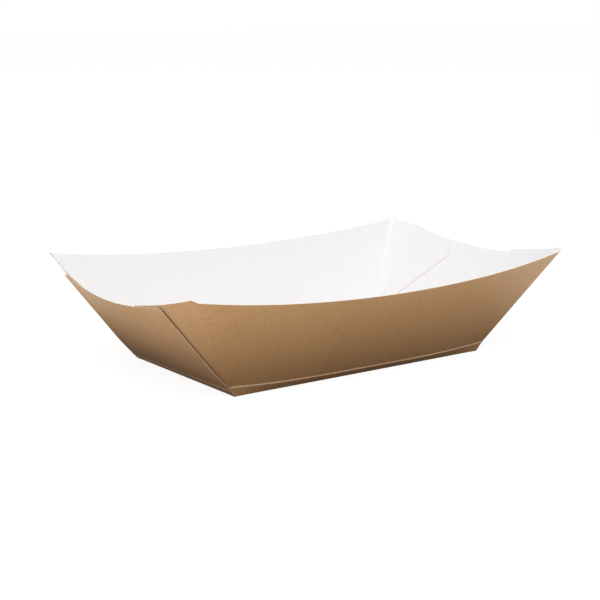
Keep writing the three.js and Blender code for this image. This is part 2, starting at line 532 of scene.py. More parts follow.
@dataclass
class FoldingSide:
    """A side of the tray as a flat blank: a strip and a wall, with rows gathered at the folds."""

    shape: TrayShape
    board: Board
    name: str
    columns: int
    half_length: float
    strip: float
    wall: float

    def taper(self, along: float) -> float:
        """Share of the fold's roundness left near the side's ends, where it sharpens."""
        left = (1 - abs(along)) * self.half_length / self.board.fold_sharpens
        return min(1.0, left) ** 0.5

    def shares(self, along: float) -> list[tuple[float, float, float, float]]:
        """Where each row of one column lies in the fold.

        Args:
            along: The column's place, from -1 to 1.

        Returns:
            For each row its inset on the base, its share of the strip, its share of the
            wall, and its fold wear and painted highlight.
        """
        board = self.board
        reach = board.fold_reach * self.taper(along)
        turn = [i / board.fold_steps for i in range(board.fold_steps + 1)]
        strip, wall = self.strip, self.wall
        rows = [((1 - t) ** 2 * reach, t * t * reach / strip, 0.0, board.base_rub_highlight) for t in turn]
        near = board.rub_highlight_reach / strip
        rows += [(0.0, share, 0.0, 0.0) for share in (near, 0.5, 1 - near)]
        rows += [(0.0, 1 - (1 - t) ** 2 * reach / strip, t * t * reach / wall, 1.0) for t in turn]
        start = reach / wall
        for rise in wall_rises(self.shape.wall_rises, board.rub_highlight_reach / wall):
            rows.append((0.0, 1.0, start + (1 - start) * rise, 0.0))
        return rows

    def blank(self) -> bpy.types.Mesh:
        """Lays the side out flat.

        Returns:
            A flat mesh whose attributes say where each point goes in the fold.
        """
        skin = Skin()
        named: dict[str, list[float]] = {"along": [], "inset": [], "strip": [], "wall": []}
        grid, folds = [], []
        for s in stations(self.columns):
            rows = self.shares(s)
            line = []
            for inset, strip, wall, _ in rows:
                across = self.strip * strip + self.wall * wall - inset
                line.append(Vector((s * self.half_length, -across, 0.0)))
                for values, value in zip(named.values(), (s, inset, strip, wall)):
                    values.append(value)
            grid.append(line)
            folds.append([wear_and_highlight for *_, wear_and_highlight in rows])
        skin.rows(grid, UP, folds)
        mesh = skin.mesh(self.name)
        for name, values in named.items():
            note(mesh, name, values)
        return mesh


def wall_rises(count: int, first: float, gather: float = 1.15) -> list[float]:
    """Heights of a wall's rows above its fold, as shares of the wall.

    Args:
        count: Number of rows.
        first: Share of the lowest one.
        gather: How strongly the rows gather near the fold, from 1 up.

    Returns:
        The shares up to 1, closer together near the fold.
    """
    rest = [first + (1 - first) * (i / (count - 1)) ** gather for i in range(count)]
    return rest[:-1] + [1.0]


class FoldTree(GeometryTree):
    """Folds a flat side: base edge, strip and wall, each by its rule.

    The cut edges' lift is whole from a height of 1 / LIFT_RISE of the wall.
    """

    LINES = ("Foot", "Crease", "Rim")
    LIFT_RISE = 5.0

    def __init__(self) -> None:
        """Builds the tree."""
        inputs = {f"{line} {end}": "Vector" for line in self.LINES for end in ("Start", "End")}
        inputs["Outward"] = "Vector"
        numbers = ("Strip Width", "Lean End", "Lean Middle", "Rim Bow", "Rim Dip", "Rim Scoop")
        inputs |= {name: "Float" for name in (*numbers, "Edge Lift", "Edge Lift Share")}
        inputs["Board Material"] = "Material"
        super().__init__("fold_side", inputs)
        n, given = self.nodes, self.given
        s = n.attribute("along")
        square = n.math("MULTIPLY", s, s)
        bell = n.math("SUBTRACT", 1.0, square)
        flat = n.math("SUBTRACT", 1.0, n.math("MULTIPLY", square, square))
        share = n.math("MULTIPLY_ADD", s, 0.5, 0.5)
        foot, crease, rim = (
            n.mix("Vector", share, given[f"{line} Start"], given[f"{line} End"])
            for line in self.LINES
        )
        out = given["Outward"]
        lean = n.mix("Float", flat, given["Lean End"], given["Lean Middle"])
        change = (self.strip_change("COSINE", lean), self.strip_change("SINE", lean))
        crease = self.moved(crease, out, *change)
        bow = n.math("MULTIPLY", given["Rim Bow"], bell)
        scoop = n.math("MULTIPLY", given["Rim Scoop"], flat)
        dip = n.math("MULTIPLY_ADD", given["Rim Dip"], bell, scoop)
        rim = self.moved(rim, out, bow, n.math("MULTIPLY", dip, -1.0))
        past = n.math("SUBTRACT", n.math("ABSOLUTE", s), 1.0)
        per_share = n.math("DIVIDE", 1.0, given["Edge Lift Share"])
        lifted = n.math("MAXIMUM", n.math("MULTIPLY_ADD", past, per_share, 1.0), 0.0)
        lift = n.math("MULTIPLY", n.math("POWER", lifted, 2.0), given["Edge Lift"])
        wall = n.attribute("wall")
        place = self.moved(foot, out, n.math("MULTIPLY", n.attribute("inset"), -1.0), 0.0)
        strip_way = n.vector("SUBTRACT", crease, foot)
        wall_way = n.vector("SUBTRACT", rim, crease)
        place = n.vector("ADD", place, n.scaled(strip_way, n.attribute("strip")))
        place = n.vector("ADD", place, n.scaled(wall_way, wall))
        risen = n.math("MINIMUM", n.math("MULTIPLY", wall, self.LIFT_RISE), 1.0)
        place = self.moved(place, out, n.math("MULTIPLY", lift, risen), 0.0)
        feeds = {"Geometry": given["Geometry"], "Position": place}
        folded = n.put("GeometryNodeSetPosition", feeds).outputs["Geometry"]
        self.close(folded, {"Board Material": True})

    def strip_change(self, operation: str, lean: bpy.types.NodeSocket) -> bpy.types.NodeSocket:
        """How far the strip's top moves as its lean changes from the one at its ends.

        Args:
            operation: COSINE for the way out, SINE for the way up.
            lean: The strip's lean at the place.

        Returns:
            The distance.
        """
        n, given = self.nodes, self.given
        now, at_ends = (n.math(operation, angle) for angle in (lean, given["Lean End"]))
        return n.math("MULTIPLY", given["Strip Width"], n.math("SUBTRACT", now, at_ends))

    def moved(self, place: Feed, out: Feed, outward: Feed, upward: Feed) -> bpy.types.NodeSocket:
        """Moves a place outward and up by two distances.

        Args:
            place: The place.
            out: The side's outward way.
            outward: Distance outward.
            upward: Distance up.

        Returns:
            The moved place.
        """
        n = self.nodes
        rise = n.put("ShaderNodeCombineXYZ", {"Z": upward}).outputs[0]
        return n.vector("ADD", n.vector("ADD", place, n.scaled(out, outward)), rise)


class BoardTree(GeometryTree):
    """Gives a skin its thickness: the kraft ply outside and the white ply inside.

    A cut face is a side cut where its normal's part across the tray is over LEAST_ACROSS; side
    cuts get a darker, warmer tone than the upward rim cuts, as painted shade.
    """

    WELD = 0.002 * MM
    LEAST_ACROSS = 0.92

    def __init__(self) -> None:
        """Builds the tree."""
        finishes = {ply.input: "Material" for ply in Ply}
        sizes = {"Thickness": "Float", "Kraft Share": "Float", "Sharp Angle": "Float"}
        super().__init__("board_plies", sizes | finishes)
        n, given = self.nodes, self.given
        outside = self.marked(given["Geometry"], True, Ply.KRAFT)
        turned = n.put("GeometryNodeFlipFaces", {"Mesh": outside}).outputs["Mesh"]
        kraft = n.math("MULTIPLY", given["Thickness"], given["Kraft Share"])
        white = n.math("SUBTRACT", given["Thickness"], kraft)
        first = self.pulled(turned, True, kraft)
        inside = self.marked(first.outputs["Mesh"], first.outputs["Side"], Ply.KRAFT_CUT)
        second = self.pulled(inside, first.outputs["Top"], white)
        inside = self.marked(second.outputs["Mesh"], second.outputs["Side"], Ply.WHITE_CUT)
        inside = self.marked(inside, second.outputs["Top"], Ply.WHITE)
        # Painted shade: sideways cut faces get their own darker material.
        inside = self.marked(inside, self.faces_across(second.outputs["Side"]), Ply.SHADED_SIDE_CUT)
        both = n.put("GeometryNodeJoinGeometry")
        for part in (outside, inside):
            n.feed(both.inputs[0], part)
        feeds = {"Geometry": both.outputs[0], "Distance": self.WELD}
        closed = n.put("GeometryNodeMergeByDistance", feeds).outputs["Geometry"]
        angle = n.put("GeometryNodeInputMeshEdgeAngle").outputs["Unsigned Angle"]
        sharp = n.math("GREATER_THAN", angle, given["Sharp Angle"])
        creased = n.shaded(n.shaded(closed, True, True, "FACE"), sharp, False, "EDGE")
        self.close(creased, {ply.input: self.shows(ply) for ply in Ply})

    def faces_across(self, cut: Feed) -> bpy.types.NodeSocket:
        """Selects the cut faces that face straight across the tray: the end walls' sides.

        Args:
            cut: The selection of cut faces.

        Returns:
            The selection of side cuts.
        """
        n = self.nodes
        normal = n.put("GeometryNodeInputNormal").outputs["Normal"]
        across = n.math("ABSOLUTE", n.put("ShaderNodeSeparateXYZ", {0: normal}).outputs["Y"])
        return n.math("MULTIPLY", cut, n.math("GREATER_THAN", across, self.LEAST_ACROSS))

    def marked(self, mesh: Feed, selection: Feed, ply: Ply) -> bpy.types.NodeSocket:
        """Notes which ply the selected faces show."""
        feeds = {"Geometry": mesh, "Selection": selection, "Name": "ply", "Value": ply.value}
        return self.nodes.stored(feeds, "INT", "FACE")

    def pulled(self, mesh: Feed, selection: Feed, distance: Feed) -> bpy.types.Node:
        """Pulls the selected faces inward by a distance, along the stored way.

        Args:
            mesh: The sheet.
            selection: The faces to pull.
            distance: How far.

        Returns:
            The node, with the mesh and its new top and side faces.
        """
        feeds = {
            "Mesh": mesh,
            "Selection": selection,
            "Offset": self.nodes.attribute("inward", "FLOAT_VECTOR"),
            "Offset Scale": distance,
            "Individual": False,
        }
        return self.nodes.put("GeometryNodeExtrudeMesh", feeds, mode="FACES")

    def shows(self, ply: Ply) -> bpy.types.NodeSocket:
        """Selects the faces that show a ply."""
        gap = self.nodes.math("SUBTRACT", self.nodes.attribute("ply", "INT"), ply.value)
        return self.nodes.math("LESS_THAN", self.nodes.math("ABSOLUTE", gap), 0.5)


class BeadTree(GeometryTree):
    """Runs a thin rounded bead along a fold line, narrowing at both ends."""

    THINNEST = 0.02

    def __init__(self) -> None:
        """Builds the tree."""
        sizes = {"Radius": "Float", "Taper": "Float", "Sides": "Int"}
        super().__init__("fold_bead", sizes | {"Bead Material": "Material"})
        n, given = self.nodes, self.given
        line = n.put("GeometryNodeMeshToCurve", {"Mesh": given["Geometry"]}).outputs["Curve"]
        length = n.put("GeometryNodeSplineLength").outputs["Length"]
        done = n.put("GeometryNodeSplineParameter").outputs["Length"]
        left = n.math("SUBTRACT", length, done)
        near = n.math("DIVIDE", n.math("MINIMUM", done, left), given["Taper"])
        grown = n.math("SQRT", n.math("MINIMUM", n.math("MAXIMUM", near, self.THINNEST), 1.0))
        feeds = {"Curve": line, "Radius": grown}
        sized = n.put("GeometryNodeSetCurveRadius", feeds).outputs["Curve"]
        feeds = {"Resolution": given["Sides"], "Radius": given["Radius"]}
        ring = n.put("GeometryNodeCurvePrimitiveCircle", feeds, mode="RADIUS").outputs["Curve"]
        feeds = {"Curve": sized, "Profile Curve": ring, "Fill Caps": True}
        bead = n.put("GeometryNodeCurveToMesh", feeds).outputs["Mesh"]
        # Every bead takes the whole fold mask, so it shows the pale rubbed colour: partly wear,
        # partly a painted highlight.
        feeds = {"Geometry": n.shaded(bead, True, True, "FACE"), "Name": "fold", "Value": 1.0}
        self.close(n.stored(feeds, "FLOAT", "POINT"), {"Bead Material": True})


def sheet_from(mesh: bpy.types.Mesh, outward: Vector) -> Skin:
    """Reads a folded side back as a skin whose faces point outward.

    Args:
        mesh: The folded side. It is used up.
        outward: The way that its faces point on the whole.

    Returns:
        The skin.
    """
    points = [v.co.copy() for v in mesh.vertices]
    normal = sum((p.normal * p.area for p in mesh.polygons), Vector())
    turn = -1 if normal.dot(outward) < 0 else 1
    faces = [tuple(p.vertices)[::turn] for p in mesh.polygons]
    folds = [0.0] * len(points)
    mesh.attributes["fold"].data.foreach_get("value", folds)
    bpy.data.meshes.remove(mesh)
    return Skin(points, faces, folds)


@dataclass
class LongSide:
    """A long side: its strip, its wall, and its bowed and dipped rim."""

    shape: TrayShape
    board: Board
    side: int
    rim_bow: float = 4.9 * MM
    rim_dip: float = 6.5 * MM
    rim_scoop: float = 1.1 * MM
    wall: float = 46.0 * MM

    @property
    def outward(self) -> Vector:
        """The way that the side faces."""
        return Vector((0.0, self.side, 0.0))

    def blank(self) -> FoldingSide:
        """Lays the side out before folding.

        Returns:
            The flat side.
        """
        shape = self.shape
        return FoldingSide(
            shape, self.board, f"long_side_{self.side}", shape.long_columns,
            shape.base_half_length, shape.strip_width, self.wall,
        )

    def rises(self) -> list[float]:
        """Heights of the wall's rows at its end creases, as shares of the crease."""
        return [0.0] + wall_rises(self.shape.wall_rises, self.board.rub_highlight_reach / self.wall)

    def crease(self, s: float) -> Vector:
        """A place on the fold between the strip and the wall.

        Args:
            s: How far along, from -1 to 1.

        Returns:
            The place.
        """
        shape = self.shape
        ends = [shape.crease_foot(end, self.side) for end in (-1, 1)]
        place = ends[0].lerp(ends[1], (s + 1) / 2)
        lean = shape.lean_end + (shape.lean_middle - shape.lean_end) * (1 - s**4)
        out = shape.strip_width * (math.cos(lean) - math.cos(shape.lean_end))
        rise = shape.strip_width * (math.sin(lean) - math.sin(shape.lean_end))
        return place + self.outward * out + UP * rise

    def fold(self, tree: FoldTree) -> Skin:
        """Folds the blank.

        Args:
            tree: The folding rule.

        Returns:
            The folded side.
        """
        shape = self.shape
        values: dict[str, object] = {
            "Outward": self.outward, "Strip Width": shape.strip_width,
            "Lean End": shape.lean_end, "Lean Middle": shape.lean_middle,
            "Rim Bow": self.rim_bow, "Rim Dip": self.rim_dip, "Rim Scoop": self.rim_scoop,
            "Edge Lift": 0.0, "Edge Lift Share": 1.0,
        }
        for word, end in (("Start", -1), ("End", 1)):
            values[f"Foot {word}"] = shape.base_corner(end, self.side)
            values[f"Crease {word}"] = shape.crease_foot(end, self.side)
            values[f"Rim {word}"] = shape.crease_top(end, self.side)
        return sheet_from(tree.run(self.blank().blank(), values), self.outward - UP * 0.5)


@dataclass
class EndSide:
    """An end side: its strip, and its wall with straight cut side edges."""

    shape: TrayShape
    board: Board
    end: int
    edge_lift: float = 1.0 * MM
    edge_lift_share: float = 0.15
    wall: float = 54.8 * MM

    @property
    def outward(self) -> Vector:
        """The way that the side faces."""
        return Vector((self.end, 0.0, 0.0))

    @property
    def dips(self) -> tuple[float, float]:
        """Even and scooped parts of the rim's dip."""
        rise, scoop = self.shape.end_rim_rise, self.shape.end_rim_scoop
        return rise * (1 + scoop), -rise * scoop

    def blank(self) -> FoldingSide:
        """Lays the side out before folding.

        Returns:
            The flat side.
        """
        shape = self.shape
        foot = shape.even_end_foot() - shape.base_corner(1, 1)
        return FoldingSide(
            shape, self.board, f"end_side_{self.end}", shape.end_columns,
            shape.base_half_width, math.hypot(foot.x, foot.z), self.wall,
        )

    def crease(self, s: float) -> Vector:
        """A place on the fold between the strip and the wall, for s from -1 to 1."""
        near, far = (self.shape.end_foot(self.end, side) for side in (-1, 1))
        return near.lerp(far, (s + 1) / 2)

    def rim(self, y: float) -> Vector:
        """The rim, carried straight on past the cut edges.

        Args:
            y: Distance across the tray.

        Returns:
            The place on the outer face.
        """
        shape = self.shape
        near, far = (shape.end_rim_corner(self.end, side) for side in (-1, 1))
        s = y / shape.end_cut_y
        bell = 1 - s * s if abs(s) < 1 else 2 - 2 * abs(s)
        flat = 1 - s**4 if abs(s) < 1 else 4 - 4 * abs(s)
        even, scoop = self.dips
        place = near.lerp(far, (s + 1) / 2)
        rise = UP * (even * bell + scoop * flat)
        return place + self.outward * shape.end_rim_bow * bell - rise

    def face(self, y: float, z: float) -> Vector:
        """The outer face at a distance across the tray and a height.

        Args:
            y: Distance across the tray.
            z: Height.

        Returns:
            The place.
        """
        low, high = self.crease(y / self.shape.even_end_foot().y), self.rim(y)
        rise = (z - low.z) / (high.z - low.z)
        return Vector((low.x + (high.x - low.x) * rise, y, z))

    def fold(self, tree: FoldTree) -> Skin:
        """Folds the blank.

        Args:
            tree: The folding rule.

        Returns:
            The folded side.
        """
        shape = self.shape
        even, scoop = self.dips
        values: dict[str, object] = {
            "Outward": self.outward, "Strip Width": shape.strip_width,
            "Lean End": shape.lean_end, "Lean Middle": shape.lean_end,
            "Rim Bow": shape.end_rim_bow, "Rim Dip": even, "Rim Scoop": scoop,
            "Edge Lift": self.edge_lift, "Edge Lift Share": self.edge_lift_share,
        }
        for word, side in (("Start", -1), ("End", 1)):
            values[f"Foot {word}"] = shape.base_corner(self.end, side)
            values[f"Crease {word}"] = shape.end_foot(self.end, side)
            values[f"Rim {word}"] = shape.end_rim_corner(self.end, side)
        return sheet_from(tree.run(self.blank().blank(), values), self.outward - UP * 0.5)


@dataclass
class CornerFlap:
    """A rounded corner and the glue flap beyond it, which lies inside the end wall."""

    shape: TrayShape
    board: Board
    wall: EndSide
    side: int
    rises: list[float]
    corner_out: float = 2.0 * MM
    corner_in: float = 0.1 * MM
    corner_up: float = 0.85 * MM
    rim_drop: float = 9.4 * MM
    rim_rise: float = 10.8 * MM
    rim_powers: tuple[float, float, float] = (1.379, -0.764, 0.385)
    reach_rim: float = 20.0 * MM
    reach_tip: float = 28.4 * MM
    tip_drop: float = 14.1 * MM
    tip_blunt: float = 0.5 * MM
    cut_lift: float = 0.06 * MM
    cut_lift_share: float = 0.16
    corner_rays: int = 14
    flap_rays: int = 16
    flap_columns: int = 22
    tip_columns: int = 6
    lift_columns: int = 4

    @property
    def end(self) -> int:
        """Which end of the tray the corner is at."""
        return self.wall.end

    @property
    def foot(self) -> Vector:
        """Foot of the corner crease, as in the right far corner."""
        return self.shape.even_foot() + self.shape.shift("foot", self.end, self.side)

    @property
    def rim_end(self) -> float:
        """Distance across the tray at which the flap's rim ends in its short cut."""
        return self.shape.end_cut_y - self.reach_rim

    @property
    def set_in(self) -> float:
        """How far the flap lies inside the end wall's outer face, along the tray.

        Returns:
            The distance.
        """
        shape = self.shape
        low = shape.even_end_foot()
        rise = shape.end_rim_low - low.z
        run = shape.base_half_length + shape.end_flare - low.x
        return (self.board.thickness - self.board.glue_press) / math.sin(math.atan2(rise, run))

    def rim(self, y: float) -> Vector:
        """The flap's rim, as in the right far corner.

        Args:
            y: Distance across the tray.

        Returns:
            The place on the flap's outer face.
        """
        shape = self.shape
        k = (y / shape.peak_y) ** 2
        first, second, third = self.rim_powers
        height = shape.crease_top_height - self.rim_drop
        height += self.rim_rise * (first * k + second * k**2 + third * k**3)
        hand = shape.hand.get((self.end, self.side), HandFold())
        height += hand.flap_up * (1 - k)
        share = max(0.0, (y - self.foot.y) / (shape.peak_y - self.foot.y))
        at_peak = abs(self.wall.rim(y * self.side).x) - self.set_in
        ease = share * share * (3 - 2 * share)
        x = self.face(y, height).x * (1 - ease) + at_peak * ease
        return Vector((x, y, height)) + Vector(hand.peak) * ease

    def face(self, y: float, z: float) -> Vector:
        """The flap's outer face, as in the right far corner."""
        place = self.wall.face(y * self.side, z)
        return Vector((abs(place.x) - self.set_in, y, z))

    def corner_rim(self, t: float) -> Vector:
        """The rim's turn from the crease to the peak, for t from 0 to 1.

        Args:
            t: Share of the turn.

        Returns:
            The place, as in the right far corner.
        """
        shape = self.shape
        start = shape.turned(shape.crease_top(self.end, self.side), self.end, self.side)
        turn = start + Vector((self.corner_out, -self.corner_in, self.corner_up))
        peak = self.rim(shape.peak_y)
        return start.lerp(turn, t).lerp(turn.lerp(peak, t), t)

    def column(self, y: float, taken: float) -> list[Vector]:
        """One upright row of the flap, from its slanting cut to its top edge.

        Args:
            y: Distance across the tray.
            taken: Share of the cut edge's lift that this row has.

        Returns:
            The places from the bottom up.
        """
        shape = self.shape
        tip_y, tip_z = shape.end_cut_y - self.reach_tip, shape.crease_top_height - self.tip_drop
        top_y = self.rim_end
        low_end = shape.even_end_foot()
        low = tip_z + (low_end.z - tip_z) * (y - tip_y) / (low_end.y - tip_y)
        across = (y - tip_y) / (top_y - tip_y)
        high = self.rim(y).z
        if across < 1:
            high = tip_z + (self.rim(top_y).z - tip_z) * across
        places = []
        for rise in self.rises:
            off = max(0.0, 1 - rise / self.cut_lift_share) ** 2 * self.cut_lift * taken
            places.append(self.face(y, low + (high - low) * rise) - Vector((off, 0.0, -off)))
        return places

    def skin(self) -> Skin:
        """Bends the corner and lays the flap on the end wall.

        Returns:
            The corner and the flap.
        """
        shape = self.shape
        tops = [self.corner_rim(i / self.corner_rays) for i in range(self.corner_rays + 1)]
        step = (self.foot.y - shape.peak_y) / self.flap_rays
        tops += [self.rim(shape.peak_y + step * i) for i in range(1, self.flap_rays + 1)]
        fan = [[self.foot.lerp(top, rise) for rise in self.rises] for top in tops]
        top_y = self.rim_end
        last_y = shape.end_cut_y - self.reach_tip + self.tip_blunt
        count = self.flap_columns
        across = [self.foot.y + (top_y - self.foot.y) * i / count for i in range(1, count + 1)]
        count = self.tip_columns
        across += [top_y + (last_y - top_y) * i / count for i in range(1, count + 1)]
        flap = [fan[-1]]
        flap += [
            self.column(y, min(1.0, i / self.lift_columns)) for i, y in enumerate(across, 1)
        ]
        skin = Skin()
        outward = self.turned(Vector((1.0, 0.4, -0.6)))
        plain = [0.0] * len(self.rises)
        for grid in (fan, flap):
            placed = [[self.turned(place) for place in line] for line in grid]
            skin.rows(placed, outward, [plain] * len(placed))
        return skin

    def turned(self, place: Vector) -> Vector:
        """Mirrors a place of the right far corner to this corner."""
        return self.shape.turned(place, self.end, self.side)


@dataclass
class BasePlate:
    """The flat base, cut back where its edges round into the strips."""

    shape: TrayShape
    along: FoldingSide
    across: FoldingSide

    def skin(self) -> Skin:
        """Lays the base between the four base folds.

        Returns:
            The base.
        """
        shape, board = self.shape, self.along.board
        grid, folds = [], []
        for s in stations(shape.long_columns):
            width = shape.base_half_width - board.fold_reach * self.along.taper(s)
            line, wear_and_highlight = [], []
            for t in stations(shape.end_columns):
                length = shape.base_half_length - board.fold_reach * self.across.taper(t)
                line.append(Vector((s * length, t * width, 0.0)))
                wear_and_highlight.append(board.base_rub_highlight if 1 in (abs(s), abs(t)) else 0.0)
            grid.append(line)
            folds.append(wear_and_highlight)
        skin = Skin()
        skin.rows(grid, -UP, folds)
        return skin


@dataclass(frozen=True)
class Bead:
    """A thin ridge along a fold line, on one face of the board."""

    name: str
    line: Callable[[float], Vector]
    lower: Callable[[float], Vector]
    upper: Callable[[float], Vector]
    inside: bool
    radius: float
    proud: float
    reach: float = 0.985
    steps: int = 90
    least_cosine: float = 0.5

    def path(self, thickness: float) -> bpy.types.Mesh:
        """Lays out the bead's middle line.

        Args:
            thickness: The board's thickness.

        Returns:
            A mesh of edges only.
        """
        points = []
        for i in range(self.steps + 1):
            s = self.reach * (2 * i / self.steps - 1)
            low, high = self.lower(s).normalized(), self.upper(s).normalized()
            bisector = (low + high).normalized()
            if self.inside:
                depth = thickness / max(self.least_cosine, bisector.dot(low))
                points.append(self.line(s) - bisector * (depth + self.proud - self.radius))
            else:
                points.append(self.line(s) + bisector * (self.proud - self.radius))
        mesh = bpy.data.meshes.new(self.name)
        edges = [(i, i + 1) for i in range(self.steps)]
        mesh.from_pydata([tuple(p) for p in points], edges, [])
        return mesh


@dataclass(frozen=True)
class BeadSizes:
    """Radius of each kind of bead, and how far it stands out of the board."""

    score_outside: tuple[float, float] = (0.3 * MM, 0.16 * MM)
    score_inside: tuple[float, float] = (0.22 * MM, 0.1 * MM)
    base_inside: tuple[float, float] = (0.24 * MM, 0.12 * MM)
    end_share: float = 0.6


def fold_beads(shape: TrayShape, long: LongSide, end: EndSide, sizes: BeadSizes) -> list[Bead]:
    """The beads of one long side and one end side.

    Args:
        shape: The tray's sizes.
        long: The long side.
        end: The end side.
        sizes: The beads' sizes.

    Returns:
        For each side its beads inside the base fold, and inside and outside the strip's
        top fold.
    """
    wall_rise = shape.crease_top_height - shape.even_foot().z

    def strip_out(side: LongSide | EndSide, foot: Callable[[float], Vector]) -> Callable:
        """The strip's outward way at each place along the side.

        Args:
            side: The side.
            foot: Its base fold.

        Returns:
            The way, as a function of the place.
        """

        def way(s: float) -> Vector:
            """Turns the strip's own rise through a right angle."""
            rise = side.crease(s) - foot(s)
            return side.outward * rise.z - UP * rise.dot(side.outward)

        return way

    def wall_out(side: LongSide | EndSide, flare: float) -> Callable[[float], Vector]:
        """The wall's outward way."""
        return lambda _: side.outward * wall_rise - UP * flare

    def long_foot(s: float) -> Vector:
        """A place on the long side's base fold."""
        return Vector((s * shape.base_half_length, long.side * shape.base_half_width, 0.0))

    def end_foot(s: float) -> Vector:
        """A place on the end side's base fold."""
        return Vector((end.end * shape.base_half_length, s * shape.base_half_width, 0.0))

    def down(_: float) -> Vector:
        """The base's outward way."""
        return -UP

    beads = []
    for side, foot, flare, share in (
        (long, long_foot, shape.flare_across, 1.0),
        (end, end_foot, shape.end_flare, sizes.end_share),
    ):
        strip, wall = strip_out(side, foot), wall_out(side, flare)
        radius, proud = sizes.score_outside
        beads += [
            Bead("score_outside", side.crease, strip, wall, False, radius, proud * share),
            Bead("score_inside", side.crease, strip, wall, True, *sizes.score_inside),
            Bead("base_inside", foot, down, strip, True, *sizes.base_inside),
        ]
    return beads


class ShaderGroup:
    """A shader node group with named inputs and outputs."""

    def __init__(
        self, name: str, inputs: dict[str, tuple[str, object]], outputs: dict[str, str]
    ) -> None:
        """Starts the group.

        Args:
            name: The group's name.
            inputs: Socket type and starting value of each input, by name.
            outputs: Socket type of each output, by name.
        """
        self.tree = bpy.data.node_groups.new(name, "ShaderNodeTree")
        for label, (kind, value) in inputs.items():
            socket = self.tree.interface.new_socket(
                name=label, in_out="INPUT", socket_type=f"NodeSocket{kind}"
            )
            if value is not None:
                socket.default_value = value
        for label, kind in outputs.items():
            self.tree.interface.new_socket(
                name=label, in_out="OUTPUT", socket_type=f"NodeSocket{kind}"
            )
        self.nodes = Nodes(self.tree)
        self.given = self.nodes.put("NodeGroupInput").outputs
        self.result = self.nodes.put("NodeGroupOutput").inputs

    def noise(self, vector: Feed, scale: Feed, detail: float, rough: float) -> Feed:
        """Adds plain noise and returns its value."""
        feeds = {"Vector": vector, "Scale": scale, "Detail": detail, "Roughness": rough}
        return self.nodes.put("ShaderNodeTexNoise", feeds).outputs[0]


class Mottle(ShaderGroup):
    """Cloudy unevenness of the pulp, in two sizes, each with its detail and roughness."""

    COARSE = (3.0, 0.55)
    FINE = (2.0, 0.6)
    FINER = 5.3
    STRETCH = 3.2

    def __init__(self) -> None:
        """Builds the group."""
        inputs = {"Vector": ("Vector", None), "Scale": ("Float", 300.0),
                  "Fine Share": ("Float", 0.5), "Contrast": ("Float", 1.0)}
        super().__init__("pulp_mottle", inputs, {"Mottle": "Float"})
        n, given = self.nodes, self.given
        coarse = self.noise(given["Vector"], given["Scale"], *self.COARSE)
        finer = n.math("MULTIPLY", given["Scale"], self.FINER)
        fine = self.noise(given["Vector"], finer, *self.FINE)
        both = n.mix("Float", given["Fine Share"], coarse, fine)
        centred = n.math("MULTIPLY", n.math("SUBTRACT", both, 0.5), given["Contrast"])
        shown = n.math("ADD", n.math("MULTIPLY", centred, self.STRETCH), 0.5)
        n.feed(self.result["Mottle"], n.spread(shown, 0.0, 1.0))


class Fibres(ShaderGroup):
    """Short fibres lying three ways in the sheet."""

    TURNS = ((0.25, 0.1, 0.35), (1.1, 0.45, 1.9), (0.7, 1.3, 0.9))
    NOISE = (1.0, 0.5)
    SPARSE_FLOOR = 0.78
    DENSITY_DROP = 0.3
    SOFTNESS = 0.14

    def __init__(self) -> None:
        """Builds the group."""
        inputs = {"Vector": ("Vector", None), "Scale": ("Float", 1500.0),
                  "Length": ("Float", 9.0), "Density": ("Float", 0.5)}
        super().__init__("paper_fibres", inputs, {"Fibres": "Float"})
        n, given = self.nodes, self.given
        short = n.math("DIVIDE", 1.0, given["Length"])
        most = None
        for turn in self.TURNS:
            feeds = {"Vector": given["Vector"], "Rotation": turn}
            way = n.put("ShaderNodeVectorRotate", feeds, rotation_type="EULER_XYZ").outputs[0]
            squeeze = n.put("ShaderNodeCombineXYZ", {"X": short, "Y": 1.0, "Z": 1.0}).outputs[0]
            squeezed = n.vector("MULTIPLY", way, squeeze)
            lying = self.noise(squeezed, given["Scale"], *self.NOISE)
            most = lying if most is None else n.math("MAXIMUM", most, lying)
        drop = n.math("MULTIPLY", given["Density"], self.DENSITY_DROP)
        floor = n.math("SUBTRACT", self.SPARSE_FLOOR, drop)
        shown = n.math("DIVIDE", n.math("SUBTRACT", most, floor), self.SOFTNESS)
        n.feed(self.result["Fibres"], n.spread(shown, 0.0, 1.0))


class FoldRubHighlight(ShaderGroup):
    """Paler, rougher board where a fold has stretched its surface; the paleness is partly wear and
    partly a painted highlight of the fold's lit edge.
    """

    BREAK = (900.0, 2.0, 0.5)
    BREAK_RANGE = (0.3, 0.7)
    LEAST_RUB = 0.55
    FALL_OFF = 2.2

    def __init__(self) -> None:
        """Builds the group."""
        inputs = {"Colour": ("Color", None), "Rubbed Highlight Colour": ("Color", None),
                  "Fold": ("Float", 0.0), "Amount": ("Float", 0.6), "Vector": ("Vector", None)}
        super().__init__("fold_rub_highlight", inputs, {"Colour": "Color", "Rub Highlight": "Float"})
        n, given = self.nodes, self.given
        broken = n.spread(self.noise(given["Vector"], *self.BREAK), *self.BREAK_RANGE)
        uneven = n.math("MULTIPLY_ADD", broken, 1 - self.LEAST_RUB, self.LEAST_RUB)
        fold = n.math("POWER", n.math("MAXIMUM", given["Fold"], 0.0), self.FALL_OFF)
        rub_highlight = n.math("MULTIPLY", n.math("MULTIPLY", fold, uneven), given["Amount"])
        n.feed(self.result["Rub Highlight"], rub_highlight)
        colour = n.mix("Color", rub_highlight, given["Colour"], given["Rubbed Highlight Colour"])
        n.feed(self.result["Colour"], colour)


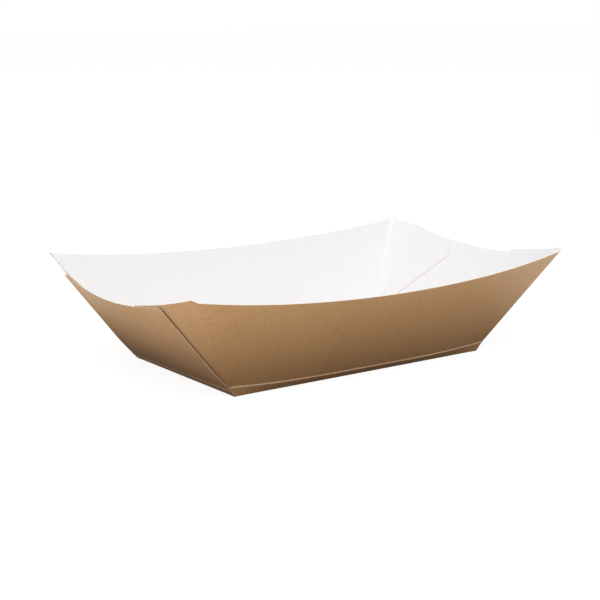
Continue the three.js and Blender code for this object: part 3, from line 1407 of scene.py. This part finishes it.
class ShowThrough(ShaderGroup):
    """The glue flap's slanting edge, felt as a faint step through the end wall, with a painted
    shade line along the step.
    """

    FADE = 2 * MM

    def __init__(self, tip: tuple[float, float], foot: tuple[float, float], wall: float) -> None:
        """Builds the group.

        Args:
            tip: Distance across and height of the slanting cut's upper end.
            foot: The same of its lower end.
            wall: Distance along the tray past which the end wall lies.
        """
        inputs = {"Vector": ("Vector", None), "Softness": ("Float", 0.9 * MM)}
        super().__init__("flap_edge_through_wall", inputs, {"Step": "Float", "Line": "Float"})
        n, given = self.nodes, self.given
        axes = n.put("ShaderNodeSeparateXYZ", {0: given["Vector"]}).outputs
        across, height = n.math("ABSOLUTE", axes["Y"]), axes["Z"]
        run, rise = foot[0] - tip[0], foot[1] - tip[1]
        long = math.hypot(run, rise)
        aside = n.math("MULTIPLY", n.math("SUBTRACT", across, tip[0]), -rise / long)
        above = n.math("MULTIPLY", n.math("SUBTRACT", height, tip[1]), run / long)
        far = n.math("DIVIDE", n.math("ADD", aside, above), given["Softness"])
        step = n.spread(far, -1.0, 1.0)
        on_wall = n.math("GREATER_THAN", n.math("ABSOLUTE", axes["X"]), wall)
        below = n.spread(height, tip[1] + self.FADE, tip[1] - self.FADE)
        shown = n.math("MULTIPLY", on_wall, below)
        n.feed(self.result["Step"], n.math("MULTIPLY", step, shown))
        # Painted shade: a thin line at the middle of the step, where the step's shade would fall.
        peak = n.math("MULTIPLY", n.math("MULTIPLY", step, n.math("SUBTRACT", 1.0, step)), 4.0)
        n.feed(self.result["Line"], n.math("MULTIPLY", peak, shown))


@dataclass(frozen=True)
class PaperGroups:
    """The shader groups that the board's finishes share."""

    mottle: bpy.types.NodeTree
    fibres: bpy.types.NodeTree
    rub_highlight: bpy.types.NodeTree
    through: bpy.types.NodeTree


@dataclass(frozen=True)
class Surface:
    """A finish's gloss, its uneven and worn roughness, and its relief."""

    specular: float
    roughness: float
    fibre_height: float
    mottle_height: float
    depth: float
    strength: float
    uneven: float = 0.0
    worn: float = 0.0


class Finish:
    """A material in the making, with its Principled shader."""

    def __init__(self, name: str, groups: PaperGroups, surface: Surface) -> None:
        """Starts the material.

        Args:
            name: The material's name.
            groups: The shared shader groups.
            surface: Its gloss, roughness and relief.
        """
        self.groups, self.surface = groups, surface
        self.material = bpy.data.materials.new(name)
        self.nodes = emptied(self.material)
        self.shader = self.nodes.put("ShaderNodeBsdfPrincipled")
        self.fix("Specular IOR Level", surface.specular)
        self.fix("Roughness", surface.roughness)
        feeds = {"Surface": self.shader.outputs[0]}
        self.nodes.put("ShaderNodeOutputMaterial", feeds)
        self.place = self.nodes.put("ShaderNodeTexCoord").outputs["Object"]

    def fix(self, name: str, value: float) -> None:
        """Sets a constant on the shader's own socket."""
        self.shader.inputs[name].default_value = value

    def mottle(self, layer: Triple) -> bpy.types.NodeSocket:
        """Places a layer of mottle, given as its scale, fine share and contrast."""
        feeds = dict(zip(("Vector", "Scale", "Fine Share", "Contrast"), (self.place, *layer)))
        return self.nodes.group(self.groups.mottle, feeds).outputs["Mottle"]

    def fibres(self, layer: Triple) -> bpy.types.NodeSocket:
        """Places a layer of fibres, given as its scale, length and density."""
        feeds = dict(zip(("Vector", "Scale", "Length", "Density"), (self.place, *layer)))
        return self.nodes.group(self.groups.fibres, feeds).outputs["Fibres"]

    def rub_highlight(self, colour: Feed, rubbed_highlight: Colour, amount: float) -> bpy.types.Node:
        """Rubs a colour paler along the folds: partly wear and partly a painted highlight.

        Args:
            colour: The colour of the plain board.
            rubbed_highlight: The colour of a worn fold, with its painted highlight.
            amount: How far a fold takes that colour.

        Returns:
            The node, with the colour and how much it is rubbed and highlighted.
        """
        wear_and_highlight = self.nodes.put("ShaderNodeAttribute", attribute_name="fold").outputs["Fac"]
        feeds = {"Colour": colour, "Rubbed Highlight Colour": rubbed_highlight, "Fold": wear_and_highlight,
                 "Amount": amount, "Vector": self.place}
        return self.nodes.group(self.groups.rub_highlight, feeds)

    def grain(self, fibres: Feed, mottle: Feed) -> bpy.types.NodeSocket:
        """Adds up the heights of fibres and mottle."""
        lower = self.nodes.math("MULTIPLY", mottle, self.surface.mottle_height)
        return self.nodes.math("MULTIPLY_ADD", fibres, self.surface.fibre_height, lower)

    def colour(self, value: Feed) -> None:
        """Sets the base colour."""
        self.nodes.feed(self.shader.inputs["Base Color"], value)

    def rough(self, mottle: Feed, rub_highlight: Feed) -> None:
        """Makes the roughness uneven about its middle, and greater on the folds.

        Args:
            mottle: The mottle that makes it uneven.
            rub_highlight: How much a place is rubbed and highlighted.
        """
        n, look = self.nodes, self.surface
        plain = n.math("MULTIPLY_ADD", mottle, look.uneven, look.roughness - look.uneven / 2)
        worn = n.math("MULTIPLY_ADD", rub_highlight, look.worn, plain)
        n.feed(self.shader.inputs["Roughness"], worn)

    def relief(self, height: Feed) -> None:
        """Bumps the surface by a height.

        Args:
            height: The height, in units of the surface's depth.
        """
        look = self.surface
        feeds = {"Height": height, "Distance": look.depth, "Strength": look.strength}
        bump = self.nodes.put("ShaderNodeBump", feeds)
        self.nodes.feed(self.shader.inputs["Normal"], bump.outputs["Normal"])


@dataclass(frozen=True)
class KraftFace:
    """The brown outer face: uncoated kraft with fibres and flecks, paler folds that are partly
    wear and partly painted highlight, and a painted shade line on the flap's step.
    """

    deep: Colour = tone(164, 128, 86)
    light: Colour = tone(196, 160, 116)
    fibre: Colour = tone(220, 182, 136)
    fleck: Colour = tone(140, 98, 60)
    rubbed_highlight: Colour = tone(240, 214, 178)
    sheen: float = 0.15
    sheen_roughness: float = 0.45
    surface: Surface = Surface(
        specular=0.5, roughness=0.5, fibre_height=0.35, mottle_height=0.4,
        depth=0.03 * MM, strength=0.7, uneven=0.12, worn=0.15,
    )
    fine_layer: Triple = (2300.0, 0.3, 2.0)
    cloud_layer: Triple = (30.0, 0.3, 0.6)
    cloud_share: float = 0.25
    fibre_layer: Triple = (1300.0, 9.0, 0.5)
    fibre_share: float = 0.18
    fleck_layer: Triple = (1500.0, 3.0, 0.25)
    fleck_share: float = 0.5
    rub_highlight_amount: float = 1.0
    painted_shade_share: float = 0.24
    step_height: float = 4.0

    def build(self, groups: PaperGroups) -> bpy.types.Material:
        """Makes the material.

        Args:
            groups: The shared shader groups.

        Returns:
            The material.
        """
        made = Finish("kraft_face", groups, self.surface)
        n = made.nodes
        made.fix("Sheen Weight", self.sheen)
        made.fix("Sheen Roughness", self.sheen_roughness)
        mottle, cloud = made.mottle(self.fine_layer), made.mottle(self.cloud_layer)
        blend = n.mix("Float", self.cloud_share, mottle, cloud)
        colour = n.mix("Color", blend, self.deep, self.light)
        fibres, flecks = made.fibres(self.fibre_layer), made.fibres(self.fleck_layer)
        colour = n.mix("Color", n.math("MULTIPLY", fibres, self.fibre_share), colour, self.fibre)
        colour = n.mix("Color", n.math("MULTIPLY", flecks, self.fleck_share), colour, self.fleck)
        # Paler folds: partly rubbed wear and partly a painted highlight.
        rub_highlight = made.rub_highlight(colour, self.rubbed_highlight, self.rub_highlight_amount).outputs
        step = n.group(groups.through, {"Vector": made.place}).outputs
        # Painted shade: the kraft is mixed towards the fleck colour along the flap's step.
        through = n.math("MULTIPLY", step["Line"], self.painted_shade_share)
        made.colour(n.mix("Color", through, rub_highlight["Colour"], self.fleck))
        made.rough(mottle, rub_highlight["Rub Highlight"])
        height = made.grain(fibres, mottle)
        made.relief(n.math("MULTIPLY_ADD", step["Step"], self.step_height, height))
        return made.material


@dataclass(frozen=True)
class WhiteFace:
    """The white inner face: smooth coated board with a faint web of fibres."""

    white: Colour = tone(240, 238, 238)
    shade: Colour = tone(235, 233, 233)
    rubbed_highlight: Colour = tone(246, 245, 244)
    rub_highlight_amount: float = 0.4
    surface: Surface = Surface(
        specular=0.4, roughness=0.42, fibre_height=0.4, mottle_height=0.5,
        depth=0.012 * MM, strength=0.5, uneven=0.1, worn=0.1,
    )
    mottle_layer: Triple = (420.0, 0.4, 0.8)
    fibre_layer: Triple = (1100.0, 11.0, 0.42)

    def build(self, groups: PaperGroups) -> bpy.types.Material:
        """Makes the material.

        Args:
            groups: The shared shader groups.

        Returns:
            The material.
        """
        made = Finish("white_face", groups, self.surface)
        mottle, fibres = made.mottle(self.mottle_layer), made.fibres(self.fibre_layer)
        colour = made.nodes.mix("Color", mottle, self.shade, self.white)
        # Paler folds: partly rubbed wear and partly a painted highlight.
        rub_highlight = made.rub_highlight(colour, self.rubbed_highlight, self.rub_highlight_amount).outputs
        made.colour(rub_highlight["Colour"])
        made.rough(mottle, rub_highlight["Rub Highlight"])
        made.relief(made.grain(fibres, mottle))
        return made.material


@dataclass(frozen=True)
class CutFace:
    """The board's cut edge: torn fibres in streaks along the ply."""

    name: str
    pale: Colour
    dark: Colour
    surface: Surface = Surface(
        specular=0.25, roughness=0.85, fibre_height=0.5, mottle_height=0.5,
        depth=0.04 * MM, strength=0.9,
    )
    fibre_layer: Triple = (1800.0, 5.0, 0.7)
    mottle_layer: Triple = (400.0, 0.5, 1.0)

    def build(self, groups: PaperGroups) -> bpy.types.Material:
        """Makes the material.

        Args:
            groups: The shared shader groups.

        Returns:
            The material.
        """
        made = Finish(self.name, groups, self.surface)
        blend = made.grain(made.fibres(self.fibre_layer), made.mottle(self.mottle_layer))
        made.colour(made.nodes.mix("Color", blend, self.dark, self.pale))
        made.relief(blend)
        return made.material


@dataclass
class FoldedTray:
    """The whole tray: base, sides, corners and glue flaps as one sheet of board."""

    shape: TrayShape = field(default_factory=TrayShape)
    board: Board = field(default_factory=Board)
    sharp_angle: float = math.radians(24)
    bead_sizes: BeadSizes = field(default_factory=BeadSizes)
    bead_sides: int = 12
    bead_taper: float = 5.0 * MM
    line_in: float = 1 * MM
    line_past: float = 1.5 * MM

    def sides(self) -> tuple[list[LongSide], list[EndSide]]:
        """The two long sides and the two end sides.

        Returns:
            The long ones and the end ones.
        """
        long = [LongSide(self.shape, self.board, side) for side in (-1, 1)]
        end = [EndSide(self.shape, self.board, way) for way in (-1, 1)]
        return long, end

    def skin(self) -> Skin:
        """Folds every side and bends every corner.

        Returns:
            All of them in one skin, not yet welded.
        """
        tree = FoldTree()
        long, end = self.sides()
        whole = BasePlate(self.shape, long[0].blank(), end[0].blank()).skin()
        LOG.info("base plate: %d faces", len(whole.faces))
        for side in (*long, *end):
            folded = side.fold(tree)
            LOG.info("%s: %d faces", side.blank().name, len(folded.faces))
            whole.join(folded)
        for wall in end:
            for across in long:
                flap = CornerFlap(self.shape, self.board, wall, across.side, across.rises())
                made = flap.skin()
                LOG.info("corner and flap %d %d: %d faces", wall.end, across.side, len(made.faces))
                whole.join(made)
        return whole

    def welded(self) -> bpy.types.Mesh:
        """Welds the skin and notes at each point the way to its inner face.

        Returns:
            The welded skin.
        """
        mesh = self.skin().mesh("tray_skin")
        work = bmesh.new()
        work.from_mesh(mesh)
        bmesh.ops.remove_doubles(work, verts=work.verts, dist=0.004 * MM)
        bmesh.ops.dissolve_degenerate(work, edges=work.edges, dist=0.004 * MM)
        bmesh.ops.recalc_face_normals(work, faces=work.faces)
        lowest = min(work.faces, key=lambda face: face.calc_center_median().z)
        if lowest.normal.z > 0:
            bmesh.ops.reverse_faces(work, faces=work.faces)
        work.normal_update()
        inward = []
        for vert in work.verts:
            mitre = min(vert.calc_shell_factor(), self.board.greatest_mitre)
            inward.extend(-vert.normal * mitre)
        work.to_mesh(mesh)
        work.free()
        mesh.attributes.new("inward", "FLOAT_VECTOR", "POINT").data.foreach_set("vector", inward)
        return mesh

    def finishes(self) -> dict[Ply, bpy.types.Material]:
        """Makes the finish of each ply.

        Returns:
            The materials by ply.
        """
        end = self.sides()[1][0]
        flap = CornerFlap(self.shape, self.board, end, 1, [])
        tip = (flap.rim_end - self.line_in, end.rim(flap.rim_end).z)
        low = self.shape.even_end_foot()
        wall = self.shape.base_half_length + self.line_past
        through = ShowThrough(tip, (low.y, low.z), wall)
        groups = PaperGroups(Mottle().tree, Fibres().tree, FoldRubHighlight().tree, through.tree)
        white_cut = CutFace("white_cut_edge", tone(240, 235, 227), tone(224, 216, 204))
        kraft_cut = CutFace("kraft_cut_edge", tone(186, 150, 110), tone(140, 104, 70))
        # Painted shade: the white ply's cut is darker and warmer where it faces sideways than
        # where it faces up on the rim.
        shaded_side_cut = CutFace("side_cut_edge_painted_shade", tone(226, 203, 176), tone(198, 170, 140))
        made = (KraftFace(), WhiteFace(), white_cut, kraft_cut, shaded_side_cut)
        return {ply: finish.build(groups) for ply, finish in zip(Ply, made)}

    def build(self) -> bpy.types.Object:
        """Makes the tray and puts it on its frame.

        Returns:
            The finished piece.
        """
        finishes = self.finishes()
        values: dict[str, object] = {
            "Thickness": self.board.thickness,
            "Kraft Share": self.board.kraft_share,
            "Sharp Angle": self.sharp_angle,
        }
        values |= {ply.input: finishes[ply] for ply in Ply}
        sheet = BoardTree().run(self.welded(), values)
        tray = joined("folded_tray", [sheet, *self.beads(finishes)])
        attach(tray, "root")
        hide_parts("tray")
        LOG.info("tray: %d faces, %d materials", len(tray.data.polygons), len(tray.data.materials))
        return tray

    def beads(self, finishes: dict[Ply, bpy.types.Material]) -> list[bpy.types.Mesh]:
        """Runs a bead along every fold.

        Args:
            finishes: The materials by ply.

        Returns:
            The beads' meshes.
        """
        tree = BeadTree()
        made = []
        for long, end in zip(*self.sides()):
            for bead in fold_beads(self.shape, long, end, self.bead_sizes):
                face = Ply.WHITE if bead.inside else Ply.KRAFT
                values = {"Radius": bead.radius, "Taper": self.bead_taper,
                          "Sides": self.bead_sides, "Bead Material": finishes[face]}
                made.append(tree.run(bead.path(self.board.thickness), values))
        LOG.info("fold beads: %d", len(made))
        return made


def joined(name: str, meshes: Sequence[bpy.types.Mesh]) -> bpy.types.Object:
    """Joins meshes to one object at the origin.

    Args:
        name: The object's name.
        meshes: The meshes. They are used up.

    Returns:
        The object.
    """
    objects = [linked(name, mesh) for mesh in meshes]
    with bpy.context.temp_override(
        active_object=objects[0], selected_editable_objects=objects, selected_objects=objects
    ):
        bpy.ops.object.join()
    objects[0].name = name
    objects[0].data.name = name
    return objects[0]


@dataclass(frozen=True)
class SoftBox:
    """A soft lamp, as a lit rectangle."""

    name: str
    place: Triple
    aim: Triple
    width: float
    height: float
    power: float

    def hang(self) -> None:
        """Puts the lamp in the scene."""
        lamp = bpy.data.lights.new(self.name, "AREA")
        lamp.shape, lamp.size, lamp.size_y = "RECTANGLE", self.width, self.height
        lamp.energy = self.power
        way = Vector(self.aim) - Vector(self.place)
        turn = way.to_track_quat("-Z", "Y").to_matrix().to_4x4()
        linked(self.name, lamp).matrix_world = Matrix.Translation(self.place) @ turn


@dataclass(frozen=True)
class PhotoCamera:
    """The camera, from the fit to the photograph's corners and rims."""

    azimuth: float = -36.341
    elevation: float = 12.216
    roll: float = 0.310
    aside: float = -4.441 * MM
    above: float = 27.127 * MM
    distance: float = 737.257 * MM
    focal_pixels: float = 1477.5
    picture_pixels: float = 600.0
    sensor: float = 36.0
    nearest: float = 0.05
    farthest: float = 60.0

    def place(self) -> None:
        """Puts the camera in the scene and makes it the active one."""
        turn, tilt, roll = (math.radians(v) for v in (self.azimuth, self.elevation, self.roll))
        level = math.cos(tilt)
        back = Vector((math.sin(turn) * level, -math.cos(turn) * level, math.sin(tilt)))
        right = (-back).cross(UP).normalized()
        up = right.cross(-back).normalized()
        rolled_right = right * math.cos(roll) + up * math.sin(roll)
        rolled_up = up * math.cos(roll) - right * math.sin(roll)
        spot = rolled_right * self.aside + rolled_up * self.above + back * self.distance
        data = bpy.data.cameras.new("camera")
        data.sensor_width = self.sensor
        data.lens = self.focal_pixels * self.sensor / self.picture_pixels
        data.clip_start, data.clip_end = self.nearest, self.farthest
        camera = linked("camera", data)
        axes = Matrix((rolled_right, rolled_up, back)).transposed().to_4x4()
        camera.matrix_world = Matrix.Translation(spot) @ axes
        bpy.context.scene.camera = camera


@dataclass(frozen=True)
class Studio:
    """The floor, the even air and the soft lamps; the floor glows onto the tray as painted light,
    with a painted shadow under the tray.
    """

    floor_half: float = 4.0
    bounce: Colour = (0.25, 0.165, 0.1, 1.0)
    glow: float = 1.34
    glow_near: Colour = (1.0, 0.8, 0.62, 1.0)
    glow_starts: float = 30 * MM
    glow_full: float = 112 * MM
    painted_shadow_half: Triple = (68 * MM, 51 * MM, 1.0)
    shown_shadow: float = 0.16
    shown_white: float = 0.92
    air: float = 0.44
    lamps: tuple[SoftBox, ...] = (
        SoftBox("overhead", (0.1, -0.16, 1.45), (0.0, 0.0, 0.0), 1.6, 1.4, 3.4),
        SoftBox("front", (-0.5, -0.74, 1.2), (0.0, 0.0, 0.02), 1.1, 1.0, 13.6),
        SoftBox("left", (-1.1, 0.55, 0.35), (0.0, 0.0, 0.03), 0.35, 0.35, 0.9),
    )

    def build(self) -> None:
        """Puts the studio round the tray."""
        self.lay_floor()
        self.fill_air()
        for lamp in self.lamps:
            lamp.hang()
        bpy.context.scene.view_settings.view_transform = "Standard"

    def shown(self, nodes: Nodes, open_air: Feed = 1.0) -> bpy.types.NodeSocket:
        """Where the camera sees a surface directly, in gloss or through glass.

        Args:
            nodes: The tree's nodes.
            open_air: How far gloss sees it lit, from 0 under the tray, a painted shadow, to 1.

        Returns:
            The mask.
        """
        rays = nodes.put("ShaderNodeLightPath").outputs
        gloss = nodes.math("MAXIMUM", rays["Is Glossy Ray"], rays["Is Transmission Ray"])
        seen = nodes.math("MULTIPLY", gloss, open_air)
        return nodes.math("MAXIMUM", seen, rays["Is Camera Ray"])

    def lay_floor(self) -> None:
        """Lays a floor that the camera sees white with the tray's faint shadow, and that the tray
        sees dark brown with a painted warm glow, kept from under it as a painted shadow.
        """
        half = self.floor_half
        mesh = bpy.data.meshes.new("floor")
        corners = [(-half, -half, 0.0), (half, -half, 0.0), (half, half, 0.0), (-half, half, 0.0)]
        mesh.from_pydata(corners, [], [(0, 1, 2, 3)])
        material = bpy.data.materials.new("floor_paper")
        n = emptied(material)
        white = (self.shown_shadow,) * 3 + (1.0,)
        feeds = {"Color": PLAIN_WHITE, "Strength": self.shown_white}
        glow = n.put("ShaderNodeEmission", feeds).outputs[0]
        lit = n.put("ShaderNodeBsdfDiffuse", {"Color": white}).outputs[0]
        seen = n.put("ShaderNodeAddShader", {0: glow, 1: lit}).outputs[0]
        # What the tray sees: a dark brown floor plus a painted glow, warm and dim near the tray
        # and none under it.
        plain = n.put("ShaderNodeBsdfDiffuse", {"Color": self.bounce}).outputs[0]
        share = self.glow_share(n)
        tint = n.mix("Color", share, self.glow_near, PLAIN_WHITE)
        feeds = {"Color": tint, "Strength": n.math("MULTIPLY", share, self.glow)}
        painted_floor_glow = n.put("ShaderNodeEmission", feeds).outputs[0]
        plain = n.put("ShaderNodeAddShader", {0: plain, 1: painted_floor_glow}).outputs[0]
        feeds = {0: self.shown(n, share), 1: plain, 2: seen}
        surface = n.put("ShaderNodeMixShader", feeds).outputs[0]
        n.put("ShaderNodeOutputMaterial", {"Surface": surface})
        mesh.materials.append(material)
        floor = linked("floor", mesh)
        floor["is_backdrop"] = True

    def glow_share(self, nodes: Nodes) -> bpy.types.NodeSocket:
        """Share of the floor's painted glow: none under the tray, as a painted shadow, and full
        some way out.

        Args:
            nodes: The tree's nodes.

        Returns:
            The share.
        """
        place = nodes.put("ShaderNodeTexCoord").outputs["Object"]
        far = nodes.vector("ABSOLUTE", place)
        past = nodes.vector("MAXIMUM", nodes.vector("SUBTRACT", far, self.painted_shadow_half), (0.0,) * 3)
        out = nodes.put("ShaderNodeVectorMath", {0: past}, operation="LENGTH").outputs["Value"]
        return nodes.spread(out, self.glow_starts, self.glow_full)

    def fill_air(self) -> None:
        """Lights the scene evenly, and shows white behind it."""
        world = bpy.data.worlds.new("studio_air")
        n = emptied(world)
        strength = n.mix("Float", self.shown(n), self.air, 1.0)
        feeds = {"Color": PLAIN_WHITE, "Strength": strength}
        air = n.put("ShaderNodeBackground", feeds).outputs[0]
        n.put("ShaderNodeOutputWorld", {"Surface": air})
        bpy.context.scene.world = world


def main() -> None:
    """Builds the tray and the studio, and notes their sizes."""
    logging.basicConfig(level=logging.INFO, format="%(name)s: %(message)s")
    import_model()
    cad_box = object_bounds()
    PhotoCamera().place()
    Studio().build()
    FoldedTray().build()
    boxes = {"cad": cad_box, "visual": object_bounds()}
    sizes = {name: [list(corner) for corner in box] for name, box in boxes.items()}
    LOG.info("sizes: %s", sizes)


if __name__ == "__main__":
    main()
